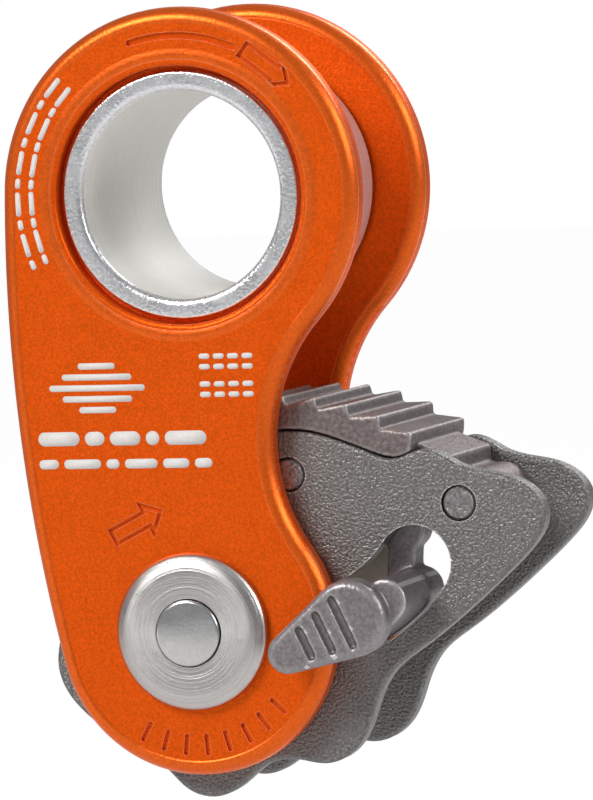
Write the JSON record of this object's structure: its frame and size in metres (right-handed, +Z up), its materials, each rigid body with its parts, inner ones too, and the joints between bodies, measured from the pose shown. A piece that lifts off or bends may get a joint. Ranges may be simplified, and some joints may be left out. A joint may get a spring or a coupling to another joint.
{
  "type": "ascender",
  "caption": "Pulley ascender: side plates on a hollow axle for a carabiner, with a sheave and a toothed swinging cam that has a thumb lock lever.",
  "frame": {"origin": "centre of the carabiner bore, half way across the width", "axes": "+X to the cam's beak, +Y to the rear side plate along the bore, +Z up from the cam pivot to the bore"},
  "size_m": [0.0473, 0.0302, 0.0688],
  "materials": {
    "orange_alloy": "satin orange anodising",
    "axle_alloy": "polished rim, turned bore",
    "sheave_alloy": "fine turned",
    "turned_steel": "turned stainless",
    "cam_steel": "bead-blasted grey",
    "jaw_casting": "investment-cast steel, matte",
    "lever_casting": "cast steel, worn edges",
    "pin_steel": "blasted pin ends",
    "bush_polymer": "self-lubricating polymer",
    "shim_polymer": "thin low-friction sheet",
    "seat_polymer": "moulded acetal",
    "bush_bronze": "sintered bronze",
    "spring_steel": "drawn wire"
  },
  "bodies": {
    "side_frame": {"front_side_plate": "orange_alloy", "rear_side_plate": "orange_alloy", "hollow_axle": "axle_alloy", "pivot_rivet": "turned_steel", "front_rivet_washer": "turned_steel", "rear_rivet_washer": "turned_steel", "pivot_sleeve": "turned_steel", "front_shim": "shim_polymer", "rear_shim": "shim_polymer"},
    "sheave": {"sheave": "sheave_alloy", "front_sheave_bush": "bush_polymer", "rear_sheave_bush": "bush_polymer"},
    "cam": {"front_cam_plate": "cam_steel", "rear_cam_plate": "cam_steel", "toothed_jaw": "jaw_casting", "lever_pin": "pin_steel", "jaw_pin": "pin_steel", "cam_spring": "spring_steel", "spring_seat": "seat_polymer"},
    "lever": {"lock_lever": "lever_casting", "lever_bush": "bush_bronze", "lever_spring": "spring_steel"}
  },
  "joints": [
    {"name": "sheave_spin", "type": "hinge", "parent": "side_frame", "child": "sheave", "pos_m": [0, 0, 0], "axis": [0, -1, 0], "continuous": true},
    {"name": "cam_swing", "type": "hinge", "parent": "side_frame", "child": "cam", "pos_m": [0, 0, -0.0377], "axis": [0, -1, 0], "range_deg": [-70, 34]},
    {"name": "lever_swing", "type": "hinge", "parent": "cam", "child": "lever", "pos_m": [0.00805, 0, -0.0245], "axis": [0, -1, 0], "range_deg": [0, 10], "stiffness_Nm_per_rad": 0.02, "springref_deg": -8.59}
  ]
}
